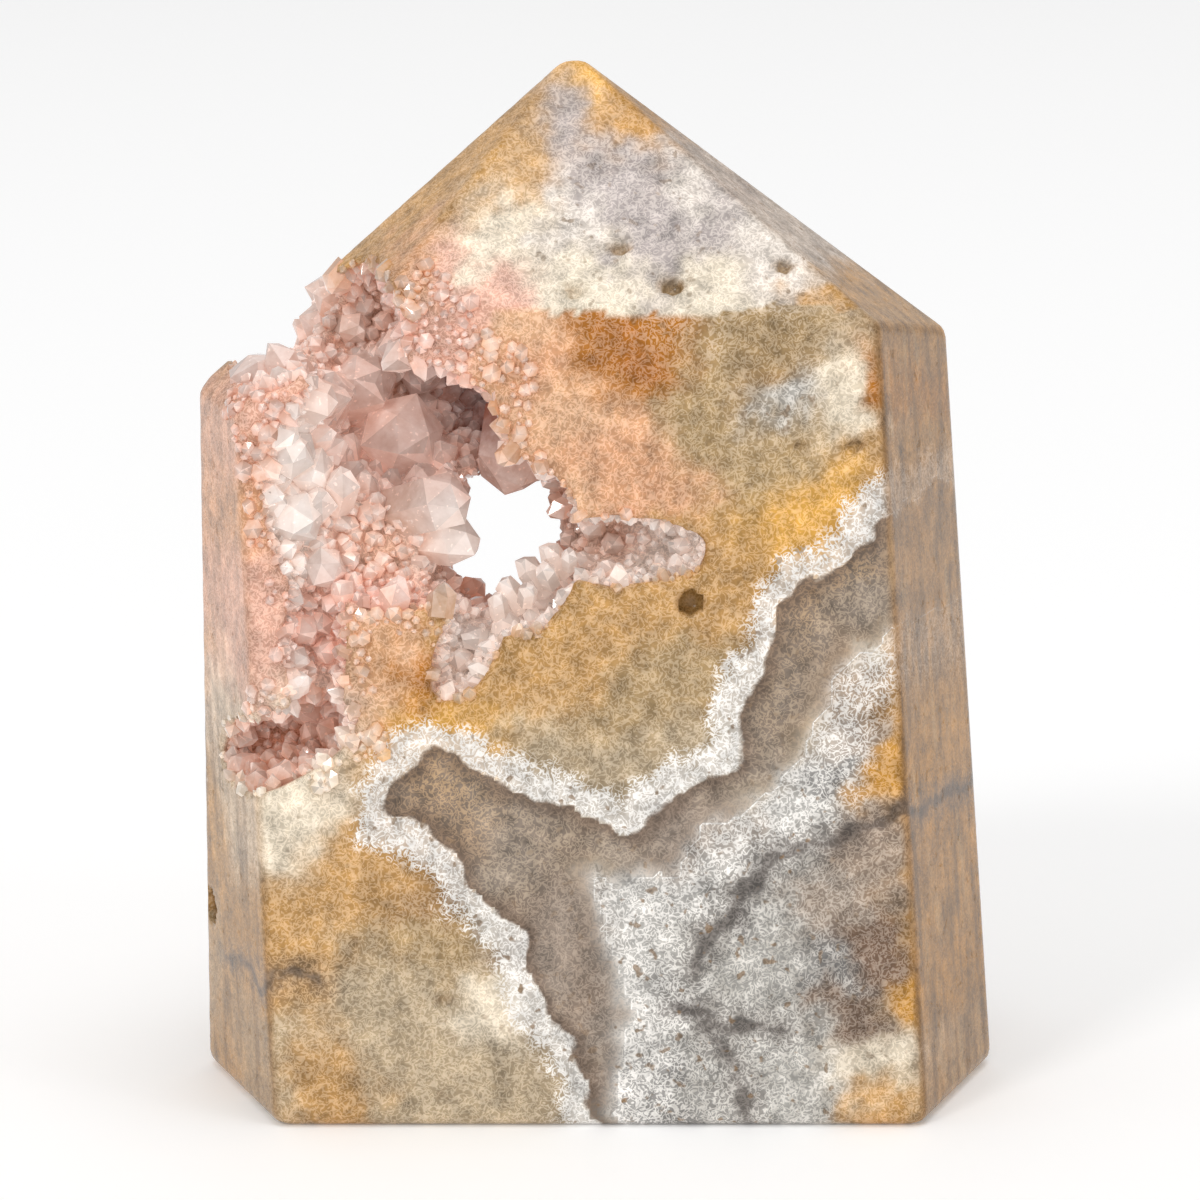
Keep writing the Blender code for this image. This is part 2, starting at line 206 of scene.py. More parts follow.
# Points of the crystals' tips, for a crystal of radius 1.
BLUNT_TIP = [(0.3, -0.15, 1.15), (-0.1, 0.3, 1.05), (-0.15, -0.2, 1.2)]
SHARP_TIP = [(-0.1, 0.1, 1.6), (0.12, 0, 1.5)]
LARGE_TIP = [(0.45, -0.1, 1.55), (-0.1, 0.45, 1.4), (-0.3, -0.35, 1.65), (0.25, -0.45, 1.5)]

# How large the crystals grow: (x, y, z, reach) in mm, and their size against the usual.
CRYSTAL_SIZES = [
    (-26, -15, 55, 5, 1.4), (-19, -3, 58, 6, 1.5), (-28, -8, 62, 4, 1.4), (-22, 5, 67, 5, 1.1),
    (-8.5, -14, 48, 6, 0.65), (-8.5, 0, 48, 7, 0.65), (-8.8, 14, 46, 8, 0.7), (2, -17, 50, 7, 0.65),
    (-27, -14, 33, 6, 0.9), (-11, -17, 43, 4, 0.6), (-24, -17, 42, 4, 0.7), (-32, -8, 63, 4, 0.3),
    (-26, -4, 65, 4, 0.6), (-30, 2, 66, 5, 0.5), (-24, 12, 70, 6, 0.6), (-20, 0, 72, 4, 0.8),
]

# Crystals that stand on the polished face by the hollow: (x, y, z, reach) in mm.
FACE_CRYSTALS = [
    (-30, -15, 63.5, 2.6), (-27, -17, 62.4, 2.2), (-14.6, -17.4, 72.4, 2.8), (-12.4, -18, 69, 3.2),
    (-15.6, -17.6, 69.6, 2.6), (-10, -18, 67, 2.2), (-7.1, -18.1, 67.6, 1.3), (-6.8, -18.1, 65, 1.5),
    (-7, -18.1, 62.4, 1.4), (-7.2, -18.2, 60, 1.3),
    (-5.4, -18.2, 57.6, 1.3), (-29.2, -18, 60, 1.6), (-28.6, -18.2, 56, 1.6), (-28.6, -18.3, 52, 1.3),
    (-27.6, -18.3, 47, 1.2), (-27.2, -18.4, 42, 1.2), (-28, -18.4, 37, 2), (-24, -18.5, 31.6, 1.8),
    (-19.6, -18.5, 33.6, 1.8), (-20.6, -18.4, 44.4, 1.9), (-20, -18.4, 39, 1),
    (-17, -18.3, 45, 1.9), (-14.2, -18.3, 44, 1.6), (-20.4, -18.4, 41.4, 1), (-5.8, -18.3, 55, 1),
]

# Large crystals, listed one by one: root, way it points, radius, length and turn, in mm and degrees.
LARGE_CRYSTALS = [
    ((-18, -0.5, 57), (0.2, -0.85, 0.2), 4.1, 7.2, 10),
    ((-15.6, 1.5, 55.4), (0.2, -0.9, -0.1), 3.2, 6, 35),
    ((-21, -1, 61), (0.1, -0.75, 0.5), 3.3, 6.4, 5),
    ((-24.6, -6, 60), (0.2, -0.6, 0.7), 3.0, 5.6, 50),
    ((-29.4, -9, 61.6), (0.1, -0.35, 0.9), 3.0, 5.2, 20),
    ((-26.4, -13, 60.2), (0.2, -0.8, 0.6), 2.4, 4.2, 40),
    ((-22.6, 3.5, 65), (-0.5, -0.5, 0.6), 2.4, 5.6, 15),
    ((-20.2, 5, 68), (-0.6, -0.6, 0.6), 2.2, 5.2, 0),
    ((-22, 8, 67), (-0.7, -0.2, 0.6), 2.1, 5, 30),
    ((-7.6, -5, 58), (-0.1, -0.5, -0.9), 3.1, 5.2, 25),
    ((-8.6, -14, 44.6), (-0.1, -0.5, 0.8), 0.9, 2.2, 15),
    ((-7.3, -13, 45.4), (-0.4, -0.5, 0.8), 1.1, 2.8, 40),
    ((-6.2, -14.6, 45.9), (0.1, -0.7, 0.7), 0.9, 2, 0),
    ((-5.4, -12.6, 46.8), (-0.5, -0.3, 0.8), 1.2, 3, 25),
    ((-4.4, -14.8, 47.6), (-0.2, -0.7, 0.6), 1, 2.2, 50),
    ((-3.6, -13.4, 48.5), (-0.5, -0.4, 0.8), 1.1, 2.6, 5),
    ((-2.6, -15, 49), (0, -0.7, 0.7), 0.8, 1.8, 30),
    ((-15.4, -12.5, 53.2), (0.7, -0.6, 0.3), 2.8, 5.6, 0),
    ((-14.6, -11.5, 50.4), (0.9, -0.5, 0), 2.4, 5, 20),
    ((-26.8, -14.4, 58), (0.3, -0.9, 0.3), 2.4, 4, 30),
    ((-26, -14.4, 53), (0.2, -0.9, 0), 2.5, 3.8, 10),
    ((-24, -14, 48.4), (0.4, -0.9, 0.1), 2.0, 3.6, 45),
]


# Soft lamps: name, place and width in metres, and the light that each adds on a white face.
LAMPS = [
    ("key", (-1.6, -2.2, 2.0), 0.6, 0.2),
    ("fill", (2.4, -1.6, 1.2), 0.6, 0.05),
    ("front", (0.2, -2.8, 0.9), 0.9, 0.04),
    ("top", (0.2, -0.5, 3.0), 1.5, 0.24),
]


# Property groups


class StoneSettings(bpy.types.PropertyGroup):
    """Sizes and finish of the polished stone."""

    mesh_step: bpy.props.FloatProperty(
        name="Mesh step", description="Edge length of the stone's fine mesh",
        default=0.53 * MM, min=0.3 * MM, unit="LENGTH", precision=5)
    fibre_size: bpy.props.FloatProperty(
        name="Fibre size", description="Length over which the stone's fibrous grain wanders",
        default=0.78 * MM, min=0.1 * MM, unit="LENGTH", precision=5)
    drift: bpy.props.FloatProperty(
        name="Drift", description="Sideways shift of the bands for each unit of depth", default=0.3)
    roughness: bpy.props.FloatProperty(
        name="Roughness", description="Roughness of the polish",
        default=0.24, min=0, max=1, subtype="FACTOR")
    richness: bpy.props.FloatProperty(
        name="Richness", description="Strength of the stone's colours against grey", default=1.25, min=0)
    lace_colour: bpy.props.FloatVectorProperty(
        name="Lace colour", description="Colour of the white feathery bands", subtype="COLOR",
        size=3, min=0, max=1, default=(0.86, 0.83, 0.79))
    river_colour: bpy.props.FloatVectorProperty(
        name="River colour", description="Colour of the grey-brown band between the white ones",
        subtype="COLOR", size=3, min=0, max=1, default=(0.36, 0.29, 0.235))
    shade_colour: bpy.props.FloatVectorProperty(
        name="Shade colour", description="Colour of the dark line beside the white bands",
        subtype="COLOR", size=3, min=0, max=1, default=(0.17, 0.11, 0.075))


class CrystalSettings(bpy.types.PropertyGroup):
    """Sizes and clearness of the crystals."""

    point_spacing: bpy.props.FloatProperty(
        name="Point spacing", description="Least distance between the main crystals of the crust",
        default=2.3 * MM, min=0.3 * MM, unit="LENGTH", precision=5)
    druse_spacing: bpy.props.FloatProperty(
        name="Druse spacing", description="Least distance between the small crystals of the crust",
        default=1.05 * MM, min=0.3 * MM, unit="LENGTH", precision=5)
    rim_spacing: bpy.props.FloatProperty(
        name="Rim spacing", description="Least distance between the crystals round the rim",
        default=0.75 * MM, min=0.3 * MM, unit="LENGTH", precision=5)
    rim_depth: bpy.props.FloatProperty(
        name="Rim depth", description="How far the rim's crystals reach into the hollow",
        default=2.4 * MM, min=0.5 * MM, unit="LENGTH", precision=5)
    clearness: bpy.props.FloatProperty(
        name="Clearness", description="Share of the light that passes through a crystal",
        default=0.08, min=0, max=1, subtype="FACTOR")
    roughness: bpy.props.FloatProperty(
        name="Roughness", description="Roughness of the crystals' facets", default=0.03, min=0, max=1,
        subtype="FACTOR")
    # Painted light: the crystals give off their own colour as emission, a glow that stands in for light
    # scattered inside them.
    painted_glow: bpy.props.FloatProperty(
        name="Glow", description="Light that the crystals scatter inside and give back",
        default=0.12, min=0, max=1, subtype="FACTOR")
    seed: bpy.props.IntProperty(name="Seed", description="Choice of the crystals' places", default=4)


class StageSettings(bpy.types.PropertyGroup):
    """Camera, floor and lights."""

    distance: bpy.props.FloatProperty(
        name="Camera distance", description="From the camera to the point it looks at",
        default=0.442, min=0.1, unit="LENGTH")
    elevation: bpy.props.FloatProperty(
        name="Elevation", description="Camera's angle above the floor",
        default=math.radians(12), subtype="ANGLE")
    aim_height: bpy.props.FloatProperty(
        name="Aim height", description="Height of the point that the camera looks at",
        default=0.0424776, unit="LENGTH", precision=5)
    lens: bpy.props.FloatProperty(
        name="Lens", description="Focal length in millimetres",
        default=150.48, min=20, subtype="DISTANCE_CAMERA")
    floor_colour: bpy.props.FloatVectorProperty(
        name="Floor colour", description="Colour of the floor", subtype="COLOR",
        size=3, min=0, max=1, default=(0.98, 0.98, 0.98))
    floor_glow: bpy.props.FloatProperty(
        name="Floor glow", description="Light that the floor gives off, so that it looks white",
        default=0.12, min=0, max=1, subtype="FACTOR")
    sky_light: bpy.props.FloatProperty(
        name="Sky light", description="Strength of the even light from all round", default=0.6, min=0)


# Shader maths


class Wire:
    """A socket in a material; Python's operators on it add Math nodes."""

    def __init__(self, tree, socket=None):
        self.tree = tree
        self.socket = socket

    def node(self, kind, settings=None, inputs=None, out=0):
        """Add a node: its settings first, then values or links for its sockets."""
        made = self.tree.nodes.new(kind)
        for name, value in (settings or {}).items():
            setattr(made, name, value)
        for key, value in (inputs or {}).items():
            socket = made.inputs[key]
            if isinstance(value, Wire):
                self.tree.links.new(value.socket, socket)
            elif getattr(socket, "type", "") == "RGBA" and len(value) == 3:
                socket.default_value = (*value, 1)
            else:
                socket.default_value = value
        return Wire(self.tree, made.outputs[out])

    def maths(self, operation, *values):
        """A Math node on this socket and up to two more values."""
        inputs = {index: value for index, value in enumerate((self, *values))}
        return self.node("ShaderNodeMath", {"operation": operation}, inputs)

    def __add__(self, other):
        return self.maths("ADD", other)

    __radd__ = __add__

    def __mul__(self, other):
        return self.maths("MULTIPLY", other)

    def __sub__(self, other):
        return self.maths("SUBTRACT", other)

    def __rsub__(self, other):
        return (self * -1) + other

    def rise(self, start, end):
        """A smooth step from 0 at start to 1 at end."""
        return self.node("ShaderNodeMapRange", {"interpolation_type": "SMOOTHSTEP"},
                         {0: self, 1: start, 2: end, 3: 0.0, 4: 1.0})

    def over(self, under, colour):
        """Lay a colour over another one, with this socket as the cover's strength."""
        return self.node("ShaderNodeMix", {"data_type": "RGBA"}, {0: self, 6: under, 7: colour}, out=2)

    def brighten(self, colour):
        """Multiply a colour by this socket's value."""
        return self.node("ShaderNodeVectorMath", {"operation": "SCALE"}, {0: colour, 3: self})


def clamp(value):
    """Keep a socket's value between 0 and 1."""
    return value.node("ShaderNodeClamp", None, {0: value})


def noise_at(place, size, detail=2.0, distortion=0.0, roughness=0.5):
    """Noise whose patches are about the given size in metres across."""
    return place.node("ShaderNodeTexNoise", None,
                      {"Vector": place, "Scale": 1 / size, "Detail": detail,
                       "Roughness": roughness, "Distortion": distortion})


def moved(place, offset, stretch=(1, 1, 1)):
    """A place moved and stretched, for a pattern of its own."""
    return place.node("ShaderNodeMapping", None, {"Vector": place, "Location": offset, "Scale": stretch})


def scribble(place, size, turns):
    """Thin winding lines, such as fibres in chalcedony."""
    field = noise_at(place, size, detail=1.0, distortion=0.5)
    return (field * turns).maths("PINGPONG", 0.5) * 2


def new_material(name):
    """An empty material: the material, its start wire and its Principled node."""
    material = bpy.data.materials.new(name)
    material.use_nodes = True
    tree = material.node_tree
    shader = tree.nodes["Principled BSDF"]
    return material, Wire(tree), shader


def linear(colour):
    """A daylight colour turned into the renderer's linear values."""
    return tuple(c / 12.92 if c <= 0.04045 else ((c + 0.055) / 1.055) ** 2.4 for c in colour)


def stone_material(settings):
    """Polished chalcedony: painted tones, white lace, dark river, cracks and fibrous grain."""
    material, start, shader = new_material("polished_chalcedony")
    place = start.node("ShaderNodeTexCoord", out=3)
    tone = start.node("ShaderNodeAttribute", {"attribute_name": "tone"})
    shore = start.node("ShaderNodeAttribute", {"attribute_name": "shore"}, out=2)
    bank = start.node("ShaderNodeAttribute", {"attribute_name": "bank"}, out=2)
    crack = start.node("ShaderNodeAttribute", {"attribute_name": "crack"}, out=2)
    bleach = start.node("ShaderNodeAttribute", {"attribute_name": "bleach"}, out=2)
    side = start.node("ShaderNodeAttribute", {"attribute_name": "side"}, out=2)
    outside = 1 - start.node("ShaderNodeAttribute", {"attribute_name": "hollow"}, out=2)
    size = settings.fibre_size
    clouds = noise_at(place, 6 * MM, detail=3.0)
    mottle = noise_at(moved(place, (0.1, 0.2, 0.3)), 1.7 * MM, detail=3.0, roughness=0.6)
    fibres_a = scribble(place, size, 4.5)
    fibres_b = scribble(moved(place, (0.4, 0.1, 0.7)), size * 0.8, 4.5)
    fibres = fibres_a.rise(0.45, 0.95).maths("MAXIMUM", fibres_b.rise(0.55, 0.95))
    pores = 1 - noise_at(moved(place, (0.2, 0.5, 0.1)), 0.9 * MM, detail=1.0).rise(0.27, 0.35)
    streaks = noise_at(moved(place, (0, 0, 0), (1, 1, 0.12)), 1.5 * MM, detail=3.0)
    ragged = (mottle - 0.5) * 2.4 + (fibres - 0.4) * 0.9
    edge = shore + (mottle - 0.5) * 0.9
    front = (1 - side * 0.8) * outside
    river = edge.rise(-0.15, 0.4) * (bank + ragged).rise(-1.0, 2.4) * front
    colour = (fibres * 0.22).over(tone, STAINS["fibre"])
    # The sides turn darker brown with streaks: partly the stone's own colour, partly painted shade,
    # strongest on the right.
    colour = (side * 0.75).over(colour, STAINS["side"])
    colour = ((side * 0.75) * streaks.rise(0.46, 0.66)).over(colour, STAINS["dark_streak"])
    colour = ((side * 0.4) * (1 - streaks.rise(0.28, 0.46))).over(colour, STAINS["pale_streak"])
    river_tone = clouds.rise(0.35, 0.65).over(settings.river_colour, STAINS["river_cloud"])
    colour = (river * (0.95 - fibres * 0.3)).over(colour, river_tone)
    shade = river * (1 - edge.rise(0.3, 2.2))
    colour = (shade * 0.75).over(colour, settings.shade_colour)
    lace = (shore + ragged + (clouds - 0.5) * 3.5).rise(-3.0, -1.5) * (1 - edge.rise(-0.15, 0.4)) * front
    snow = (bank + ragged).rise(-6.5, -2.5) * (1 - (bank + ragged).rise(-0.6, 1.6)) * front
    colour = clamp(snow * (fibres * 0.5 + 0.35)).over(colour, settings.lace_colour)
    colour = clamp(lace * (fibres * 0.3 + 0.68)).over(colour, settings.lace_colour)
    frosted = bleach * mottle.rise(0.3, 0.6) * fibres * (1 - river) * outside
    colour = (frosted * 0.4).over(colour, settings.lace_colour)
    crack = crack + (1 - outside) * 9
    crack_line = 1 - (crack + (mottle - 0.5) * 0.8).rise(0.1, 0.75)
    crack_shade = 1 - (crack + ragged).rise(0.2, 2.6)
    colour = (crack_shade * 0.4).over(colour, STAINS["crack_shade"])
    colour = (crack_line * 0.6).over(colour, STAINS["crack_line"])
    colour = (pores * (bleach * 0.5 + lace * 0.5 + 0.25)).over(colour, STAINS["pore"])
    specks = noise_at(moved(place, (0.6, 0.3, 0.2)), 3.2 * MM, detail=5.0, roughness=0.7)
    pit = start.node("ShaderNodeAttribute", {"attribute_name": "pit"}, out=2)
    colour = (pit * 0.8).over(colour, STAINS["pit"])
    light = 0.74 + fibres * 0.3 + (mottle - 0.5) * 1.2 + (clouds - 0.5) * 0.5 + (specks - 0.5) * 0.9
    colour = light.brighten(colour)
    bump = start.node("ShaderNodeBump", None,
                      {"Strength": 0.12, "Distance": 0.12 * MM, "Height": fibres * 0.3 + (1 - pores)})
    tree = material.node_tree
    tree.links.new(colour.socket, shader.inputs["Base Color"])
    polish = settings.roughness + (mottle - 0.5) * 0.16 + pores * 0.2
    tree.links.new(polish.socket, shader.inputs["Roughness"])
    tree.links.new(bump.socket, shader.inputs["Normal"])
    shader.inputs["IOR"].default_value = QUARTZ_IOR
    shader.inputs["Specular IOR Level"].default_value = 0.25
    return material


def crystal_material(name, clearness, settings):
    """Quartz: milky and tinted at its root, paler at its tip, with a painted highlight of random strength
    on each facet.
    """
    material, start, shader = new_material(name)
    place = start.node("ShaderNodeTexCoord", out=3)
    tone = start.node("ShaderNodeAttribute", {"attribute_name": "tone"})
    chance = start.node("ShaderNodeAttribute", {"attribute_name": "chance"}, out=2)
    facet = start.node("ShaderNodeAttribute", {"attribute_name": "facet"}, out=2)
    tip = start.node("ShaderNodeAttribute", {"attribute_name": "tip"}, out=2)
    veil = noise_at(place, 1.1 * MM, detail=3.0, roughness=0.6)
    flecks = noise_at(moved(place, (0.3, 0.1, 0.2)), 0.45 * MM, detail=1.0).rise(0.66, 0.74)
    colour = (tip * 0.45 + (veil - 0.5) * 0.8).maths("MAXIMUM", 0).over(tone, STAINS["crystal_tip"])
    colour = ((1 - tip) * 0.3 * chance).over(colour, STAINS["crystal_root"])
    # Painted highlight: each facet's random value makes it lighter or darker, as if the facets caught
    # unequal light.
    light = 0.91 + (facet - 0.5) * 0.45 + (veil - 0.5) * 0.35 + (chance - 0.5) * 0.25 + flecks * 0.25
    colour = light.brighten(colour)
    tree = material.node_tree
    tree.links.new(colour.socket, shader.inputs["Base Color"])
    # Painted light: the crystals' colour is given off again as emission, a painted glow.
    tree.links.new(colour.socket, shader.inputs["Emission Color"])
    tree.links.new((settings.roughness + veil * 0.14).socket, shader.inputs["Roughness"])
    shader.inputs["IOR"].default_value = QUARTZ_IOR
    shader.inputs["Transmission Weight"].default_value = clearness
    shader.inputs["Emission Strength"].default_value = settings.painted_glow
    shader.inputs["Coat Weight"].default_value = 0.35
    shader.inputs["Coat Roughness"].default_value = 0.04
    return material


# Meshes


def new_piece(name, mesh):
    """An object at the origin, linked to the scene."""
    piece = bpy.data.objects.new(name, mesh)
    bpy.context.scene.collection.objects.link(piece)
    return piece


def merged_copy(node, name):
    """A CAD node's mesh under a new name, with its doubles merged."""
    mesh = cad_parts[node].data.copy()
    mesh.name = name
    mesh.materials.clear()
    work = bmesh.new()
    work.from_mesh(mesh)
    bmesh.ops.remove_doubles(work, verts=work.verts, dist=0.001 * MM)
    work.to_mesh(mesh)
    work.free()
    return mesh


def settled(piece):
    """Turn an object with modifiers into a plain mesh."""
    bpy.context.view_layer.update()
    graph = bpy.context.evaluated_depsgraph_get()
    mesh = bpy.data.meshes.new_from_object(piece.evaluated_get(graph))
    piece.modifiers.clear()
    piece.data = mesh


def places_of(mesh):
    """The mesh's points in mm, as an array."""
    places = np.empty(len(mesh.vertices) * 3)
    mesh.vertices.foreach_get("co", places)
    return places.reshape(-1, 3) / MM


def wandered(places, reach, size, shift):
    """Points moved by smooth noise, so that what is painted there wanders."""
    noise.seed_set(WANDER_SEED)
    moves = [noise.noise_vector(Vector(p) / size + Vector(shift)) for p in places]
    return places + reach * np.array(moves)


def blend_tones(places, patches, tones):
    """Mix the tones of the patches that are nearest to each point."""
    total = np.zeros((len(places), 3))
    weight = np.zeros(len(places))
    for tone, spots in patches.items():
        colour = np.array(linear(tones[tone]))
        for spot in spots:
            away = np.linalg.norm(places - np.array(spot[:-1]), axis=1) / spot[-1]
            share = np.exp(-BLEND * away)
            total += share[:, None] * colour
            weight += share
    return total / weight[:, None]


def nearest_line(places, line):
    """Distance from points to a line on the front."""
    best = np.full(len(places), 1e9)
    for start, end in zip(line, line[1:]):
        start = np.array(start, float)
        along = np.array(end, float) - start
        offset = places - start
        share = np.clip(offset @ along / (along @ along), 0, 1)
        best = np.minimum(best, np.linalg.norm(offset - share[:, None] * along, axis=1))
    return best


def inside(places, outline):
    """Which points of the front lie inside a closed outline."""
    within = np.zeros(len(places), bool)
    across, up = places.T
    for (x0, z0), (x1, z1) in zip(outline, outline[1:] + outline[:1]):
        if z0 != z1:
            crosses = (up < z0) != (up < z1)
            within ^= crosses & (across < x0 + (up - z0) * (x1 - x0) / (z1 - z0))
    return within


def add_values(mesh, name, values):
    """Store one number for each point of a mesh."""
    stored = mesh.attributes.new(name, "FLOAT", "POINT")
    stored.data.foreach_set("value", np.asarray(values, dtype=np.float32))


def values_of(mesh, name):
    """Read back one number for each point of a mesh."""
    values = np.empty(len(mesh.vertices), dtype=np.float32)
    mesh.attributes[name].data.foreach_get("value", values)
    return values


def add_tones(mesh, colours):
    """Store one colour for each point of a mesh."""
    full = np.ones((len(colours), 4), dtype=np.float32)
    full[:, :3] = colours
    mesh.attributes.new("tone", "FLOAT_COLOR", "POINT").data.foreach_set("color", full.ravel())


def hull_depth(mesh, places):
    """How deep each point lies under the stone's outside, in mm."""
    work = bmesh.new()
    work.from_mesh(mesh)
    made = bmesh.ops.convex_hull(work, input=work.verts)
    faces = [item for item in made["geom"] if isinstance(item, bmesh.types.BMFace)]
    for face in faces:
        face.normal_update()
    normals = np.array([face.normal for face in faces])
    offsets = np.array([face.normal.dot(face.verts[0].co) for face in faces]) / MM
    centre = places.mean(axis=0)
    flip = np.sign(offsets - normals @ centre)
    normals *= flip[:, None]
    offsets *= flip
    work.free()
    depth = np.full(len(places), 1e9)
    for normal, offset in zip(normals, offsets):
        depth = np.minimum(depth, offset - places @ normal)
    return depth


def joined_hollow(mesh, depth, start):
    """Which points deeper than start belong to the main hollow, and not to a pit of its own."""
    neighbours = [[] for _ in mesh.vertices]
    for edge in mesh.edges:
        one, other = edge.vertices
        neighbours[one].append(other)
        neighbours[other].append(one)
    found = np.zeros(len(depth), bool)
    waiting = [int(np.argmax(depth))]
    found[waiting] = True
    while waiting:
        for other in neighbours[waiting.pop()]:
            if depth[other] > start and not found[other]:
                found[other] = True
                waiting.append(other)
    return found


def fine_skin(mesh, step):
    """The stone's mesh in small even faces that lie on the CAD surface."""
    tree = BVHTree.FromPolygons([v.co for v in mesh.vertices], [tuple(p.vertices) for p in mesh.polygons])
    piece = new_piece("stone_skin", mesh)
    remesh = piece.modifiers.new("even", "REMESH")
    remesh.mode = "VOXEL"
    remesh.voxel_size = step
    settled(piece)
    for vertex in piece.data.vertices:
        vertex.co = tree.find_nearest(vertex.co)[0]
    press_pits(piece.data)
    for face in piece.data.polygons:
        face.use_smooth = True
    return piece


def press_pits(mesh):
    """Press the small pits into the even mesh, which is too coarse to keep them."""
    places = places_of(mesh)
    normals = [vertex.normal.copy() for vertex in mesh.vertices]
    for x, y, z, radius in PITS:
        centre = np.array((x, y, z))
        for index in np.flatnonzero(np.linalg.norm(places - centre, axis=1) < radius):
            out = np.array(normals[index])
            offset = places[index] - centre
            across = np.linalg.norm(offset - (offset @ out) * out)
            sunk = math.sqrt(max(0, radius ** 2 - across ** 2))
            mesh.vertices[index].co -= Vector(out * sunk * MM)


def front_plane(heights):
    """The y of the front face, or of the roof above it, at each height in mm."""
    return np.where(heights < RIDGE, -19 + heights / RIDGE, -18 + (heights - RIDGE) * 0.9)


def painting_place(places, drift):
    """Where each point falls in the painting: bands drift with depth and turn back at the edge."""
    depth = np.maximum(0, places[:, 1] - front_plane(places[:, 2]))
    across = places[:, 0] - drift * depth
    across = np.where(across < PAINTING_EDGE, 2 * PAINTING_EDGE - across, across)
    return np.stack([across, places[:, 2] + BAND_RISE * depth], axis=1)


def patches_of(roof):
    """The stone's patches above the ridge, or those below it."""
    return {tone: [spot for spot in spots if (spot[1] > RIDGE) == roof] for tone, spots in PATCHES.items()}


def paint_stone(piece, settings):
    """Give the stone's points their tone, their distance to bands and cracks, and their frosting."""
    mesh = piece.data
    places = places_of(mesh)
    depth = hull_depth(mesh, places)
    flat = painting_place(places, settings.drift)
    moves = sum(wandered(places, reach, size, (size, 1, 2)) - places for reach, size in WANDERINGS)
    soft = flat + moves[:, [0, 2]]
    tones = blend_tones(soft, PATCHES, TONES)
    on_roof = blend_tones(soft, patches_of(True), TONES)
    on_face = blend_tones(soft, patches_of(False), TONES)
    above = places[:, 2] > RIDGE + 0.35 * moves[:, 1]
    split = np.where(above[:, None], on_roof, on_face)
    inward = places[:, 1] - front_plane(places[:, 2])
    tones += np.clip(2.5 - inward, 0, 1)[:, None] * (split - tones)
    grey = tones.mean(axis=1, keepdims=True)
    tones = np.clip(grey + settings.richness * (tones - grey), 0.01, 1)
    # The hollow's wall takes the crystals' tones, with the painted shade of the deep recess among them.
    pink = blend_tones(wandered(places, 1.5, 2.5, (2, 8, 5)), CRYSTAL_PATCHES, CRYSTAL_TONES)
    add_values(mesh, "depth", depth)
    joined = joined_hollow(mesh, depth, HOLLOW_START)
    add_values(mesh, "joined", joined.astype(float))
    hollow = np.clip((depth - HOLLOW_START) / 0.6, 0, 1)
    pit = np.clip((depth - PIT_START) / 0.3, 0, 1)
    add_values(mesh, "pit", pit * ~joined_hollow(mesh, depth, PIT_START))
    hollow = hollow * joined
    add_tones(mesh, tones + hollow[:, None] * (pink - tones))
    add_values(mesh, "hollow", hollow)
    frost = {tone: (FROST.get(tone, 0),) * 3 for tone in TONES}
    whole = blend_tones(soft, PATCHES, frost)
    add_values(mesh, "bleach", whole[:, 0])
    bend = wandered(places, 1.0, 3.2, (1, 9, 4)) + wandered(places, 0.5, 1.2, (1, 9, 4)) - 2 * places
    lined = flat + bend[:, [0, 2]]
    river = np.where(inside(lined, UPPER_SHORE + INNER_SHORE), 1, -1)
    add_values(mesh, "shore", river * nearest_line(lined, UPPER_SHORE))
    add_values(mesh, "bank", river * nearest_line(lined, INNER_SHORE))
    cracks = np.full(len(places), 99.0)
    for line in CRACKS:
        cracks = np.minimum(cracks, nearest_line(lined, line))
    add_values(mesh, "crack", cracks)
    normals = np.empty(len(mesh.vertices) * 3)
    mesh.vertices.foreach_get("normal", normals)
    sideways = np.abs(normals.reshape(-1, 3)[:, 0])
    # The sides' darkening: full on the right, less on the left and least high up; partly the stone's
    # colour, partly painted shade.
    side_colour_and_shade = np.where(places[:, 0] > 0, 1, 0.7 - 0.45 * np.clip((places[:, 2] - 30) / 10, 0, 1))
    add_values(mesh, "side", np.clip((sideways - 0.3) * 2, 0, 1) * (depth < 0.4) * side_colour_and_shade)


# Crystals


def crystal_shape(name, shoulder, tips):
    """A six-sided crystal of radius 1, from its sunk root to an off-centre tip of a few points."""
    work = bmesh.new()
    for height, radius, lift in ((-0.8, 0.9, 0), (shoulder, 0.95, 0.2)):
        for side in range(6):
            turn = math.tau * side / 6
            rise = lift * (1 if side % 2 else -0.6)
            work.verts.new((radius * math.cos(turn), radius * math.sin(turn), height + rise))
    for tip in tips:
        work.verts.new(tip)
    bmesh.ops.convex_hull(work, input=work.verts)
    bmesh.ops.dissolve_limit(work, angle_limit=math.radians(1), verts=work.verts, edges=work.edges)
    bmesh.ops.recalc_face_normals(work, faces=work.faces)
    mesh = bpy.data.meshes.new(name)
    work.to_mesh(mesh)
    work.free()
    top = max(tip[2] for tip in tips)
    add_values(mesh, "tip", [max(0, vertex.co.z) / top for vertex in mesh.vertices])
    return mesh


